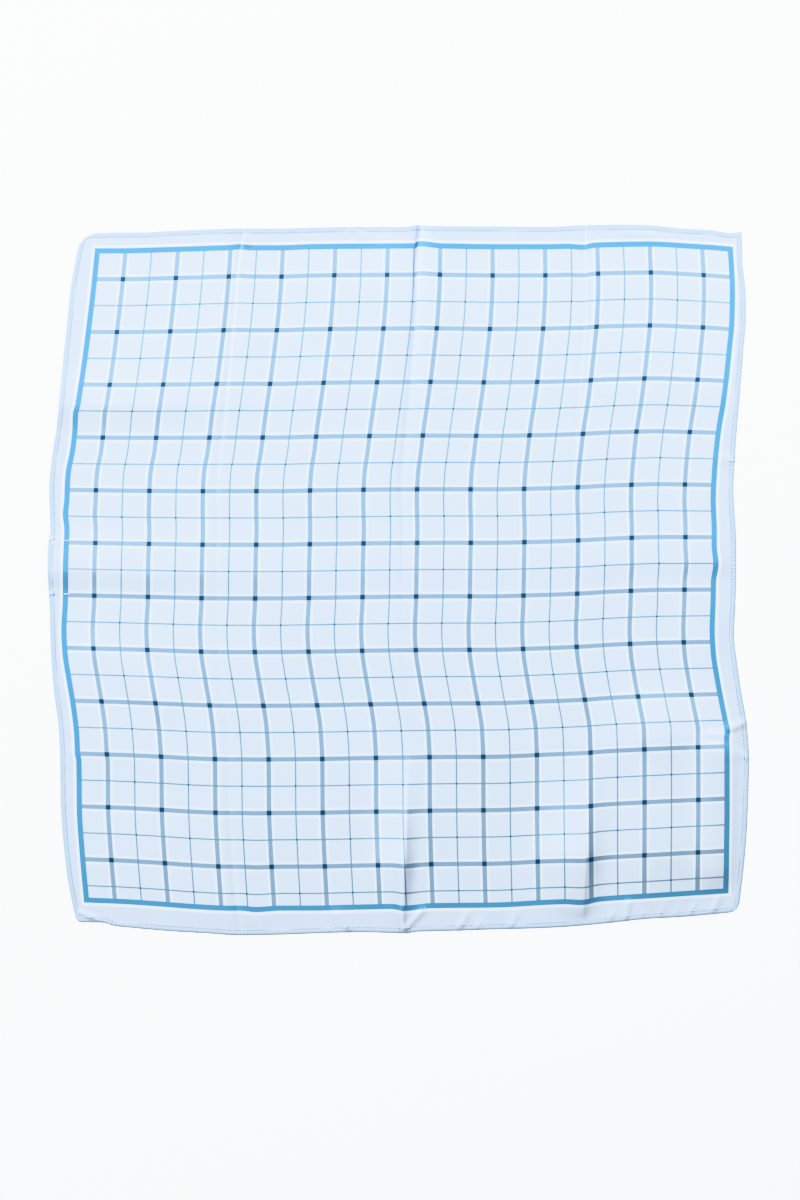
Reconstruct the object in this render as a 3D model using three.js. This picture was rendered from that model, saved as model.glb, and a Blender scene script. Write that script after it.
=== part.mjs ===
// A square satin bandana, opened out and laid flat, with the creases of its last folding.
// Millimetres. +X is its right, +Y its back edge, and it lies on the surface at z = 0.

import * as THREE from "three";

// The cloth as it was cut and hemmed
const CLOTH_WIDTH = 650;
const CLOTH_DEPTH = 670;
const CLOTH_THICKNESS = 1.2;
const HEM_WIDTH = 5;
const HEM_SLOPE = 1.5;
const HEM_EXTRA = 0.5;

// The rectangle in which it lies, a little larger than the cut because its edges sway
const LAID_WIDTH = 675;
const LAID_DEPTH = 684;

// Side edges, from back to front: how far each one stands inside the rectangle
const SIDE_EDGES = [
  { down: 7, left: 32.5, right: 7 },
  { down: 36, left: 26, right: 6.5 },
  { down: 63, left: 21.5, right: 3.5 },
  { down: 87, left: 19, right: 3 },
  { down: 120, left: 15.5, right: 5.5 },
  { down: 164, left: 11.5, right: 9 },
  { down: 193, left: 8.5, right: 11.5 },
  { down: 222, left: 4, right: 13.5 },
  { down: 255, left: 1, right: 15 },
  { down: 294, left: 2, right: 13 },
  { down: 313, left: 0, right: 12.5 },
  { down: 342, left: 0, right: 12.5 },
  { down: 371, left: 1.5, right: 13.5 },
  { down: 395, left: 2, right: 14.5 },
  { down: 419, left: 3, right: 12 },
  { down: 453, left: 6, right: 7 },
  { down: 484, left: 10, right: 2 },
  { down: 515, left: 11.5, right: 0 },
  { down: 554, left: 12, right: 1 },
  { down: 587, left: 14, right: 2.5 },
  { down: 621, left: 17.5, right: 5.5 },
  { down: 650, left: 22.5, right: 9 },
  { down: 671, left: 27.5, right: 11.5 },
];

// Back and front edges, from left to right: how far each one stands inside the rectangle
const END_EDGES = [
  { across: 30, back: 8, front: 12.5 },
  { across: 50, back: 8, front: 12.5 },
  { across: 64, back: 7.5, front: 9 },
  { across: 88, back: 7.5, front: 6.5 },
  { across: 117, back: 6, front: 4 },
  { across: 151, back: 4.5, front: 2 },
  { across: 185, back: 3.5, front: 0 },
  { across: 218, back: 3.5, front: 0.5 },
  { across: 262, back: 2.5, front: 2 },
  { across: 300, back: 2, front: 3 },
  { across: 344, back: 2.5, front: 2 },
  { across: 356, back: 0.5, front: 3.5 },
  { across: 377, back: 1.5, front: 4 },
  { across: 425, back: 1.5, front: 5.5 },
  { across: 478, back: 2, front: 7 },
  { across: 516, back: 0.5, front: 9.5 },
  { across: 550, back: 0, front: 13 },
  { across: 579, back: 0.5, front: 16 },
  { across: 608, back: 3.5, front: 17.5 },
  { across: 637, back: 5, front: 20 },
  { across: 659, back: 8, front: 22 },
  { across: 667, back: 6.5, front: 22.5 },
];

// Corners: how round each one lies
const CORNERS = [
  { side: "left", end: "back", radius: 16.5 },
  { side: "right", end: "back", radius: 1.5 },
  { side: "right", end: "front", radius: 10.5 },
  { side: "left", end: "front", radius: 5 },
];

// Creases. Along its line a crease stands off the surface as a ridge or lies on it as a trough
// with raised shoulders. place is the line's distance from the cloth's left or back edge. ridge and
// trough are the heights. Each has five values: at the start, the three crossings and the end.
// before and after are how far the raised cloth reaches on the two sides of the line.
const CREASES_TO_FRONT = [
  {
    place: [159, 159, 159, 159, 160],
    ridge: [0, 0, 0, 0, 0],
    trough: [1.8, 1.0, 0.6, 0.6, 1.6],
    before: 28,
    after: 18,
  },
  {
    place: [332, 334, 334, 330, 322],
    ridge: [0, 0, 0.5, 1.5, 3.6],
    trough: [2.6, 1.6, 0.8, 0, 0],
    before: 16,
    after: 40,
  },
  {
    place: [496, 496, 497, 498, 498],
    ridge: [2.0, 1.0, 0.5, 1.4, 4.2],
    trough: [0, 0, 0, 0, 0],
    before: 18,
    after: 30,
  },
];
const CREASES_TO_RIGHT = [
  {
    place: [169, 166, 165, 164, 162],
    ridge: [2.6, 1.6, 1.0, 0.8, 1.4],
    trough: [0, 0, 0, 0, 0],
    before: 22,
    after: 34,
  },
  {
    place: [329, 329, 329, 329, 328],
    ridge: [1.8, 1.4, 1.0, 1.2, 2.4],
    trough: [0, 0, 0, 0, 0],
    before: 20,
    after: 28,
  },
  {
    place: [508, 505, 502, 498, 494],
    ridge: [1.8, 0.8, 0.8, 1.2, 2.6],
    trough: [0, 0, 0, 0, 0],
    before: 22,
    after: 26,
  },
];

// A trough's shoulders are highest at this share of its reach, where the form's factor makes them 1
const SHOULDER = 1 / 3;
const SHOULDER_FACTOR = 1 / (SHOULDER * (1 - SHOULDER) ** 2);

// Rows and columns of points
const PANEL_FILLS = 3;
const LAY_STEPS = 12;

const lerp = THREE.MathUtils.lerp;

// Smooth curve through a table's rows that never swings past their values
function curveThrough(rows, keyName, valueName) {
  const keys = rows.map((row) => row[keyName]);
  const values = rows.map((row) => row[valueName]);
  const last = keys.length - 1;
  const gaps = keys.slice(1).map((key, i) => key - keys[i]);
  const slopes = gaps.map((gap, i) => (values[i + 1] - values[i]) / gap);
  const tangents = keys.map((_, i) => {
    if (i === 0) return slopes[0];
    if (i === last) return slopes[last - 1];
    if (slopes[i - 1] * slopes[i] <= 0) return 0;
    return (2 * slopes[i - 1] * slopes[i]) / (slopes[i - 1] + slopes[i]);
  });
  return (key) => {
    if (key <= keys[0]) return values[0] + tangents[0] * (key - keys[0]);
    if (key >= keys[last]) return values[last] + tangents[last] * (key - keys[last]);
    const i = keys.findIndex((next, n) => n > 0 && key <= next) - 1;
    const t = (key - keys[i]) / gaps[i];
    const start = (1 + 2 * t) * (1 - t) ** 2 * values[i] + t * (1 - t) ** 2 * gaps[i] * tangents[i];
    const end = t * t * (3 - 2 * t) * values[i + 1] - t * t * (1 - t) * gaps[i] * tangents[i + 1];
    return start + end;
  };
}

const leftInset = curveThrough(SIDE_EDGES, "down", "left");
const rightInset = curveThrough(SIDE_EDGES, "down", "right");
const backInset = curveThrough(END_EDGES, "across", "back");
const frontInset = curveThrough(END_EDGES, "across", "front");

// Value at a share of the way along a crease, from its five stations
function alongCrease(stations, share) {
  const place = THREE.MathUtils.clamp(share, 0, 1) * (stations.length - 1);
  const i = Math.min(Math.floor(place), stations.length - 2);
  return lerp(stations[i], stations[i + 1], place - i);
}

// Height that one crease gives the cloth, at a distance from its line and a share of the way along it
function creaseHeight(crease, distance, share) {
  const reach = distance < 0 ? crease.before : crease.after;
  const out = Math.min(Math.abs(distance) / reach, 1);
  const fall = (1 - out) ** 2;
  const ridge = alongCrease(crease.ridge, share) * fall;
  const trough = alongCrease(crease.trough, share) * SHOULDER_FACTOR * out * fall;
  return ridge + trough;
}

// Height of the cloth's underside above the surface
function lift(across, down) {
  const acrossShare = across / CLOTH_WIDTH;
  const downShare = down / CLOTH_DEPTH;
  let height = 0;
  for (const crease of CREASES_TO_FRONT) {
    height += creaseHeight(crease, across - alongCrease(crease.place, downShare), downShare);
  }
  for (const crease of CREASES_TO_RIGHT) {
    height += creaseHeight(crease, down - alongCrease(crease.place, acrossShare), acrossShare);
  }
  return height;
}

// Thickness, which steps up at the hem
function thickness(across, down) {
  const inside = Math.min(across, CLOTH_WIDTH - across, down, CLOTH_DEPTH - down);
  const step = THREE.MathUtils.clamp((inside - HEM_WIDTH) / HEM_SLOPE, 0, 1);
  return CLOTH_THICKNESS + HEM_EXTRA * (1 - step);
}

// Place on the cut cloth after its corners have been rounded: a square near a corner becomes a disc
function roundCorner(across, down) {
  for (const { side, end, radius } of CORNERS) {
    const fromSide = side === "left" ? across : CLOTH_WIDTH - across;
    const fromEnd = end === "back" ? down : CLOTH_DEPTH - down;
    if (fromSide >= radius || fromEnd >= radius) continue;
    const p = 1 - fromSide / radius;
    const q = 1 - fromEnd / radius;
    const newSide = radius * (1 - p * Math.sqrt(1 - (q * q) / 2));
    const newEnd = radius * (1 - q * Math.sqrt(1 - (p * p) / 2));
    return {
      across: side === "left" ? newSide : CLOTH_WIDTH - newSide,
      down: end === "back" ? newEnd : CLOTH_DEPTH - newEnd,
    };
  }
  return { across, down };
}

// Where a point of the cut cloth lies between the four swaying edges
function lay(across, down) {
  const cut = roundCorner(across, down);
  const acrossShare = cut.across / CLOTH_WIDTH;
  const downShare = cut.down / CLOTH_DEPTH;
  const laid = { across: acrossShare * LAID_WIDTH, down: downShare * LAID_DEPTH };
  for (let step = 0; step < LAY_STEPS; step++) {
    const left = leftInset(laid.down);
    const right = LAID_WIDTH - rightInset(laid.down);
    const back = backInset(laid.across);
    const front = LAID_DEPTH - frontInset(laid.across);
    laid.across = lerp(left, right, acrossShare);
    laid.down = lerp(back, front, downShare);
  }
  return { x: laid.across - LAID_WIDTH / 2, y: LAID_DEPTH / 2 - laid.down };
}

// Lines of points from one edge of the cloth to the other: close at hems and creases, even between
function gridLines(length, creases, share) {
  const margin = [0, HEM_WIDTH, HEM_WIDTH + HEM_SLOPE, CORNERS[0].radius];
  const lines = [...margin];
  const addGroup = (group) => {
    const start = lines.at(-1);
    for (let fill = 1; fill <= PANEL_FILLS; fill++) {
      lines.push(lerp(start, group[0], fill / (PANEL_FILLS + 1)));
    }
    lines.push(...group);
  };
  for (const { place, before, after } of creases) {
    const line = alongCrease(place, share);
    const around = [-before, -before * SHOULDER, 0, after * SHOULDER, after];
    addGroup(around.map((offset) => line + offset));
  }
  addGroup(margin.toReversed().map((line) => length - line));
  return lines;
}

// Places on the cut cloth of a grid of points whose lines follow the creases
function gridPlaces() {
  const nominalDown = gridLines(CLOTH_DEPTH, CREASES_TO_RIGHT, 0.5);
  const nominalAcross = gridLines(CLOTH_WIDTH, CREASES_TO_FRONT, 0.5);
  const columns = nominalDown.map((d) => gridLines(CLOTH_WIDTH, CREASES_TO_FRONT, d / CLOTH_DEPTH));
  const rows = nominalAcross.map((a) => gridLines(CLOTH_DEPTH, CREASES_TO_RIGHT, a / CLOTH_WIDTH));
  return nominalDown.map((_, j) => {
    return nominalAcross.map((_, i) => ({ across: columns[j][i], down: rows[i][j] }));
  });
}

// The cloth: a top and an underside of points on the same lines, closed by a wall round the edge
function makeClothGeometry() {
  const places = gridPlaces();
  const rowCount = places.length;
  const columnCount = places[0].length;
  const positions = [];
  for (const row of places) {
    for (const { across, down } of row) {
      const { x, y } = lay(across, down);
      const under = lift(across, down);
      positions.push(x, y, under, x, y, under + thickness(across, down));
    }
  }
  const under = (j, i) => 2 * (j * columnCount + i);
  const top = (j, i) => under(j, i) + 1;

  const triangles = [];
  for (let j = 1; j < rowCount; j++) {
    for (let i = 1; i < columnCount; i++) {
      triangles.push(top(j - 1, i - 1), top(j, i - 1), top(j, i));
      triangles.push(top(j - 1, i - 1), top(j, i), top(j - 1, i));
      triangles.push(under(j - 1, i - 1), under(j, i), under(j, i - 1));
      triangles.push(under(j - 1, i - 1), under(j - 1, i), under(j, i));
    }
  }

  const edge = [];
  for (let j = 0; j < rowCount - 1; j++) edge.push([j, 0]);
  for (let i = 0; i < columnCount - 1; i++) edge.push([rowCount - 1, i]);
  for (let j = rowCount - 1; j > 0; j--) edge.push([j, columnCount - 1]);
  for (let i = columnCount - 1; i > 0; i--) edge.push([0, i]);
  edge.forEach((start, n) => {
    const end = edge[(n + 1) % edge.length];
    triangles.push(under(...start), under(...end), top(...end));
    triangles.push(under(...start), top(...end), top(...start));
  });

  const geometry = new THREE.BufferGeometry();
  geometry.setAttribute("position", new THREE.Float32BufferAttribute(positions, 3));
  geometry.setIndex(triangles);
  geometry.computeBoundingBox();
  const { min, max } = geometry.boundingBox;
  geometry.translate(-(min.x + max.x) / 2, -(min.y + max.y) / 2, 0);
  geometry.computeVertexNormals();
  return geometry;
}

// Smooth pale blue satin
const satin = new THREE.MeshStandardMaterial({
  color: "#c9dbef",
  roughness: 0.42,
  metalness: 0,
});

const cloth = new THREE.Mesh(makeClothGeometry(), satin);
cloth.name = "bandana";

const part = new THREE.Group();
part.add(cloth);

export default part;
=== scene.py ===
"""A square satin bandana, opened out and laid flat on a pale floor, seen from straight above."""
import math

import bpy
import numpy as np
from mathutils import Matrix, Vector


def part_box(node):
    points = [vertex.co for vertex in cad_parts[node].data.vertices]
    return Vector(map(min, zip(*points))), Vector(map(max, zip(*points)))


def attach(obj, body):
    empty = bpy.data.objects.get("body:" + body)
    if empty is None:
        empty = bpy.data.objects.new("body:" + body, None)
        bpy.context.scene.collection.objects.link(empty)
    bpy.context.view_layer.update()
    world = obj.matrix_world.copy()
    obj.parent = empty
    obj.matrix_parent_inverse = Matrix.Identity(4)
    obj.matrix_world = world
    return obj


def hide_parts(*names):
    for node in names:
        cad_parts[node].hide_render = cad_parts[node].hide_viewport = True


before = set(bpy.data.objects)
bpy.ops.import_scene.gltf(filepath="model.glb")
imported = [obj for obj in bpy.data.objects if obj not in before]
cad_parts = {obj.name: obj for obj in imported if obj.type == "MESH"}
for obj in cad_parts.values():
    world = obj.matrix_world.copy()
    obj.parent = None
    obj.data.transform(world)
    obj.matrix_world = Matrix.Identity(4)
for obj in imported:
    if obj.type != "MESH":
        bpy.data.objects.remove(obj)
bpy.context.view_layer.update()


# The cloth: one layer of printed satin, opened out from a folding into quarters each way. It lies flat,
# its edges sway, and its creases still stand a little off the floor. The print is on its upper side and
# shows through faintly on the reverse. Its cut and laid sizes are in millimetres.
MM = 0.001
CLOTH_WIDTH = 650.0
CLOTH_DEPTH = 670.0
SATIN_THICKNESS = 0.3
HIDDEN_EDGE = 2.2
FLOOR_CLEARANCE = 0.05

# Edges of the laid cloth: how far each stands inside the rectangle that it lies in. Across is counted
# from the rectangle's left edge, and down from its back edge.
SIDE_EDGES = [
    {"down": 7, "left": 32.5, "right": 7},
    {"down": 36, "left": 26, "right": 6.5},
    {"down": 63, "left": 21.5, "right": 3.5},
    {"down": 87, "left": 19, "right": 3},
    {"down": 120, "left": 15.5, "right": 5.5},
    {"down": 164, "left": 11.5, "right": 9},
    {"down": 193, "left": 8.5, "right": 11.5},
    {"down": 222, "left": 4, "right": 13.5},
    {"down": 255, "left": 1, "right": 15},
    {"down": 294, "left": 2, "right": 13},
    {"down": 313, "left": 0, "right": 12.5},
    {"down": 342, "left": 0, "right": 12.5},
    {"down": 371, "left": 1.5, "right": 13.5},
    {"down": 395, "left": 2, "right": 14.5},
    {"down": 419, "left": 3, "right": 12},
    {"down": 453, "left": 6, "right": 7},
    {"down": 484, "left": 10, "right": 2},
    {"down": 515, "left": 11.5, "right": 0},
    {"down": 554, "left": 12, "right": 1},
    {"down": 587, "left": 14, "right": 2.5},
    {"down": 621, "left": 17.5, "right": 5.5},
    {"down": 650, "left": 22.5, "right": 9},
    {"down": 671, "left": 27.5, "right": 11.5},
]
END_EDGES = [
    {"across": 30, "back": 8, "front": 12.5},
    {"across": 50, "back": 8, "front": 12.5},
    {"across": 64, "back": 7.5, "front": 9},
    {"across": 88, "back": 7.5, "front": 6.5},
    {"across": 117, "back": 6, "front": 4},
    {"across": 151, "back": 4.5, "front": 2},
    {"across": 185, "back": 3.5, "front": 0},
    {"across": 218, "back": 3.5, "front": 0.5},
    {"across": 262, "back": 2.5, "front": 2},
    {"across": 300, "back": 2, "front": 3},
    {"across": 344, "back": 2.5, "front": 2},
    {"across": 356, "back": 0.5, "front": 3.5},
    {"across": 377, "back": 1.5, "front": 4},
    {"across": 425, "back": 1.5, "front": 5.5},
    {"across": 478, "back": 2, "front": 7},
    {"across": 516, "back": 0.5, "front": 9.5},
    {"across": 550, "back": 0, "front": 13},
    {"across": 579, "back": 0.5, "front": 16},
    {"across": 608, "back": 3.5, "front": 17.5},
    {"across": 637, "back": 5, "front": 20},
    {"across": 659, "back": 8, "front": 22},
    {"across": 667, "back": 6.5, "front": 22.5},
]
CORNERS = [
    {"side": "left", "end": "back", "radius": 16.5},
    {"side": "right", "end": "back", "radius": 1.5},
    {"side": "right", "end": "front", "radius": 10.5},
    {"side": "left", "end": "front", "radius": 5},
]

# Creases on the cut cloth, at stations from edge to edge. place is the line's distance from the cloth's
# left or back edge. ridge is its crest's height, and trough the height of the shoulders beside a trough.
# steep and gentle are how far the two slopes reach before and after the line, and share is the steep
# one's part of the ridge. The last two columns are painted shade along the line, on its shaded slope:
# how dark it is, and how far from the line it sits.
CREASE_STATIONS = [0, 0.25, 0.5, 0.75, 0.9, 0.96, 1]
CREASES_TO_FRONT = [
    {"place": [159, 159, 159, 159, 160, 160, 160],
     "ridge": 0, "trough": [0.9, 0.7, 0.3, 0.3, 0.8, 1.0, 0.8],
     "steep_before": [15, 14, 10, 8, 8, 8, 8], "steep_after": [1.6, 3, 6, 8, 5, 5, 4],
     "gentle_before": 45, "gentle_after": 50, "share_before": 1.0, "share_after": 1.0,
     "painted_shade": [0.10, 0.08, 0.05, 0.04, 0.06, 0.08, 0.06], "painted_shade_at": -3},
    {"place": [332, 334, 334, 330, 325, 323, 322],
     "ridge": [0, 0, 0.2, 0.7, 9.0, 3.4, 0.4], "trough": [3.6, 1.6, 0.5, 0, 0, 0, 0],
     "steep_before": [5, 6, 7, 6, 5, 5, 4], "steep_after": [22, 20, 16, 16, 14, 11, 8],
     "gentle_before": [60, 60, 60, 50, 40, 24, 10], "gentle_after": [60, 60, 60, 50, 36, 24, 12],
     "share_before": 0.2, "share_after": 0.85,
     "painted_shade": [0.34, 0.20, 0.08, 0.05, 0.14, 0.14, 0.10], "painted_shade_at": [-2.8, -2.8, -1, 0, 3, 3, 1]},
    {"place": [496, 496, 497, 498, 498, 498, 498],
     "ridge": [0, 0, 0.2, 1.0, 9.6, 4.6, 0.4], "trough": [0.8, 0.4, 0.2, 0, 0, 0, 0],
     "steep_before": [9, 9, 9, 8, 8, 7, 6], "steep_after": [1.2, 2, 8, 20, 24, 20, 7],
     "gentle_before": [40, 50, 50, 60, 60, 40, 20], "gentle_after": [14, 20, 45, 35, 34, 28, 12],
     "share_before": 0.05, "share_after": 0.8,
     "painted_shade": [0.12, 0.08, 0.04, 0.05, 0.16, 0.16, 0.10], "painted_shade_at": [-4, -4, -2, 1, 4, 3, 1.4]},
]
CREASES_TO_RIGHT = [
    {"place": [169, 166, 165, 164, 162, 162, 162],
     "ridge": [2.8, 1.0, 0.2, 0.2, 0.5, 0.7, 0.9], "trough": 0,
     "steep_before": 10, "steep_after": 10,
     "gentle_before": 50, "gentle_after": 26, "share_before": 0.1, "share_after": 0.1,
     "painted_shade": [0.10, 0.06, 0.04, 0.03, 0.04, 0.05, 0.06], "painted_shade_at": 0},
    {"place": [329, 329, 329, 327, 326, 325, 325],
     "ridge": [3.0, 1.5, 0.5, 0.6, 1.2, 1.5, 1.8], "trough": 0,
     "steep_before": 10, "steep_after": 8,
     "gentle_before": 50, "gentle_after": [22, 22, 19, 18, 17, 17, 17],
     "share_before": 0.1, "share_after": 0.1,
     "painted_shade": [0.12, 0.08, 0.04, 0.05, 0.06, 0.07, 0.08], "painted_shade_at": 0},
    {"place": [508, 505, 502, 498, 496, 495, 494],
     "ridge": [0.8, 0.4, 0.3, 0.4, 0.8, 1.0, 1.2], "trough": 0,
     "steep_before": 10, "steep_after": 10,
     "gentle_before": 45, "gentle_after": 28, "share_before": 0.1, "share_after": 0.1,
     "painted_shade": [0.10, 0.06, 0.04, 0.03, 0.04, 0.05, 0.06], "painted_shade_at": 0},
]
CREST_ROUNDING = 0.6
# Width of the shade painted along each crease
PAINTED_SHADE_WIDTH = 1.8
EDGE_SETTLES = 16.0
EDGE_SHARE = 0.08
WRINKLE_SETTLES = 5.0
WAVE_SETTLES = 60.0

# Wrinkles in the border, drawn in by the hem, from one place to another in the laid rectangle
WRINKLES = [
    {"start": (186, 4), "end": (192, 17), "width": 5, "rise": 1.2},
    {"start": (293, 5), "end": (306, 15), "width": 5, "rise": 0.8},
    {"start": (555, 8), "end": (580, 10), "width": 6, "rise": 0.8},
    {"start": (279, 663), "end": (290, 680), "width": 6, "rise": 1.4},
    {"start": (361, 660), "end": (345, 677), "width": 4, "rise": 1.7},
    {"start": (330, 660), "end": (340, 678), "width": 5, "rise": 0.8},
    {"start": (340, 656), "end": (343, 680), "width": 3, "rise": 1.2},
    {"start": (395, 680), "end": (403, 664), "width": 5, "rise": 1.2},
    {"start": (411, 680), "end": (417, 670), "width": 4, "rise": 0.7},
    {"start": (445, 678), "end": (450, 664), "width": 5, "rise": 1.0},
    {"start": (541, 672), "end": (543, 662), "width": 4, "rise": 0.8},
    {"start": (556, 670), "end": (559, 652), "width": 4.5, "rise": 1.2},
    {"start": (572, 668), "end": (573, 660), "width": 3, "rise": 0.5},
    {"start": (589, 667), "end": (592, 657), "width": 4, "rise": 0.7},
    {"start": (604, 666), "end": (606, 658), "width": 3, "rise": 0.5},
    {"start": (618, 665), "end": (622, 655), "width": 4, "rise": 0.8},
    {"start": (639, 664), "end": (645, 649), "width": 5, "rise": 1.1},
    {"start": (1, 303), "end": (14, 303), "width": 3, "rise": 0.9},
    {"start": (2, 355), "end": (13, 355), "width": 3, "rise": 0.9},
    {"start": (643, 226), "end": (650, 226.6), "width": 2.2, "rise": 1.1},
    {"start": (649, 224), "end": (662, 229), "width": 3, "rise": 1.4},
    {"start": (656, 485), "end": (673, 479), "width": 6, "rise": 1.4},
    {"start": (662, 508), "end": (672, 514), "width": 5, "rise": 1.0},
    {"start": (634, 490), "end": (651, 491), "width": 6, "rise": 0.5},
    {"start": (32, 662), "end": (51, 672), "width": 4, "rise": 1.8},
]

# Soft swells of the cloth, in the same way
SWELLS = [
    {"start": (592, 500), "end": (596, 590), "width": 78, "rise": 4.4},
    {"start": (642, 514), "end": (643, 618), "width": 32, "rise": 4.0},
    {"start": (52, 410), "end": (110, 462), "width": 26, "rise": 1.2},
]

# Slow waves of the cloth between its creases
WAVES = [
    {"height": 0.16, "length": 240.0, "turn": 0.4, "phase": 0.3},
    {"height": 0.12, "length": 150.0, "turn": 1.3, "phase": 1.9},
    {"height": 0.08, "length": 95.0, "turn": 2.2, "phase": 4.1},
]

# Printed frame: how far its outer line stands inside the same rectangle
FRAME_SIDES = [
    {"down": 24, "left": 45, "right": 15.5},
    {"down": 63, "left": 41, "right": 13.5},
    {"down": 92, "left": 37.5, "right": 14},
    {"down": 120, "left": 34, "right": 16.5},
    {"down": 149, "left": 30, "right": 19.5},
    {"down": 172, "left": 26.5, "right": 22.5},
    {"down": 196, "left": 23.5, "right": 26.5},
    {"down": 217, "left": 21, "right": 29},
    {"down": 241, "left": 16.5, "right": 31},
    {"down": 265, "left": 15.5, "right": 32},
    {"down": 294, "left": 15.5, "right": 31},
    {"down": 323, "left": 14.5, "right": 31.5},
    {"down": 361, "left": 14, "right": 32},
    {"down": 390, "left": 12.5, "right": 33},
    {"down": 411, "left": 13.5, "right": 32},
    {"down": 438, "left": 17.5, "right": 28},
    {"down": 462, "left": 21.5, "right": 23.5},
    {"down": 486, "left": 24.5, "right": 19.5},
    {"down": 516, "left": 27, "right": 19},
    {"down": 563, "left": 27.5, "right": 19},
    {"down": 602, "left": 30, "right": 19.5},
    {"down": 652, "left": 34.5, "right": 20},
]
FRAME_ENDS = [
    {"across": 45, "back": 22.5, "front": 31},
    {"across": 70, "back": 22.5, "front": 30},
    {"across": 108, "back": 21.5, "front": 27.5},
    {"across": 141, "back": 20.5, "front": 25},
    {"across": 175, "back": 19.5, "front": 23.5},
    {"across": 223, "back": 19.5, "front": 23.5},
    {"across": 252, "back": 18.5, "front": 23.5},
    {"across": 300, "back": 18, "front": 24.5},
    {"across": 345, "back": 18, "front": 25.5},
    {"across": 380, "back": 18, "front": 26},
    {"across": 430, "back": 18.5, "front": 26.5},
    {"across": 478, "back": 18.5, "front": 29},
    {"across": 516, "back": 17.5, "front": 31},
    {"across": 541, "back": 16.5, "front": 33},
    {"across": 580, "back": 16, "front": 35.5},
    {"across": 618, "back": 18, "front": 38},
    {"across": 642, "back": 19.5, "front": 39.5},
    {"across": 658, "back": 21, "front": 40.5},
]

# Kinks that the creases give the print's frame: push is how far outwards, and before and after are how
# far a kink reaches to each side of its place
KINKS = [
    {"edge": "back", "place": 185, "push": 1.0, "before": 14, "after": 10},
    {"edge": "back", "place": 357, "push": 2.4, "before": 5, "after": 24},
    {"edge": "back", "place": 516, "push": -1.6, "before": 18, "after": 10},
    {"edge": "front", "place": 200, "push": 1.4, "before": 14, "after": 24},
    {"edge": "front", "place": 344, "push": 2.0, "before": 14, "after": 26},
    {"edge": "front", "place": 515, "push": 1.6, "before": 20, "after": 16},
    {"edge": "left", "place": 181, "push": 1.2, "before": 8, "after": 20},
    {"edge": "left", "place": 279, "push": 1.5, "before": 16, "after": 14},
    {"edge": "left", "place": 509, "push": 1.0, "before": 22, "after": 7},
    {"edge": "right", "place": 327, "push": 2.1, "before": 20, "after": 18},
    {"edge": "right", "place": 486, "push": 0.8, "before": 10, "after": 12},
]
KINK_REACH = 70.0
PRINT_WIDTH = 621.0
PRINT_DEPTH = 633.0

# Spacing of the sheet's points: finest on a crease, growing with the distance from it, and no wider than
# half of the widest in the border and where the small wrinkles of the front edge are
FINEST_GAP = 0.8
WIDEST_GAP = 4.8
GAP_GROWTH = 0.22
BORDER = 22.0
FINE_ACROSS = [(330, 480), (520, 645)]
LAY_ROUNDS = 12

cad_low, cad_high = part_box("bandana")
LAID_WIDTH = (cad_high.x - cad_low.x) / MM
LAID_DEPTH = (cad_high.y - cad_low.y) / MM


def curve_through(rows, key_name, value_name):
    """Smooth curve through a table's rows that never swings past their values."""
    keys = np.array([row[key_name] for row in rows], float)
    values = np.array([row[value_name] for row in rows], float)
    gaps = np.diff(keys)
    slopes = np.diff(values) / gaps
    same_way = slopes[:-1] * slopes[1:] > 0
    total = np.where(same_way, slopes[:-1] + slopes[1:], 1)
    inner = np.where(same_way, 2 * slopes[:-1] * slopes[1:] / total, 0)
    tangents = np.concatenate([slopes[:1], inner, slopes[-1:]])

    def curve(key):
        key = np.asarray(key, float)
        i = np.clip(np.searchsorted(keys, key) - 1, 0, len(gaps) - 1)
        t = np.clip((key - keys[i]) / gaps[i], 0, 1)
        start = (1 + 2 * t) * (1 - t) ** 2 * values[i] + t * (1 - t) ** 2 * gaps[i] * tangents[i]
        end = t * t * (3 - 2 * t) * values[i + 1] - t * t * (1 - t) * gaps[i] * tangents[i + 1]
        outside = tangents[0] * np.minimum(key - keys[0], 0)
        outside += tangents[-1] * np.maximum(key - keys[-1], 0)
        return start + end + outside

    return curve


left_inset = curve_through(SIDE_EDGES, "down", "left")
right_inset = curve_through(SIDE_EDGES, "down", "right")
back_inset = curve_through(END_EDGES, "across", "back")
front_inset = curve_through(END_EDGES, "across", "front")
frame_left = curve_through(FRAME_SIDES, "down", "left")
frame_right = curve_through(FRAME_SIDES, "down", "right")
frame_back = curve_through(FRAME_ENDS, "across", "back")
frame_front = curve_through(FRAME_ENDS, "across", "front")


def round_corner(across, down):
    """Place on the cut cloth after its corners are rounded: a square near a corner becomes a disc."""
    across, down = across.copy(), down.copy()
    for corner in CORNERS:
        radius = corner["radius"]
        from_side = across if corner["side"] == "left" else CLOTH_WIDTH - across
        from_end = down if corner["end"] == "back" else CLOTH_DEPTH - down
        near = (from_side < radius) & (from_end < radius)
        p = 1 - from_side[near] / radius
        q = 1 - from_end[near] / radius
        new_side = radius * (1 - p * np.sqrt(1 - q * q / 2))
        new_end = radius * (1 - q * np.sqrt(1 - p * p / 2))
        across[near] = new_side if corner["side"] == "left" else CLOTH_WIDTH - new_side
        down[near] = new_end if corner["end"] == "back" else CLOTH_DEPTH - new_end
    return across, down


def lay(across, down):
    """Where points of the cut cloth lie in the rectangle, between its four swaying edges."""
    across, down = round_corner(across, down)
    across_share, down_share = across / CLOTH_WIDTH, down / CLOTH_DEPTH
    laid_across, laid_down = across_share * LAID_WIDTH, down_share * LAID_DEPTH
    for _ in range(LAY_ROUNDS):
        left = left_inset(laid_down)
        right = LAID_WIDTH - right_inset(laid_down)
        back = back_inset(laid_across)
        front = LAID_DEPTH - front_inset(laid_across)
        laid_across = left + across_share * (right - left)
        laid_down = back + down_share * (front - back)
    return laid_across, laid_down


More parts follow.
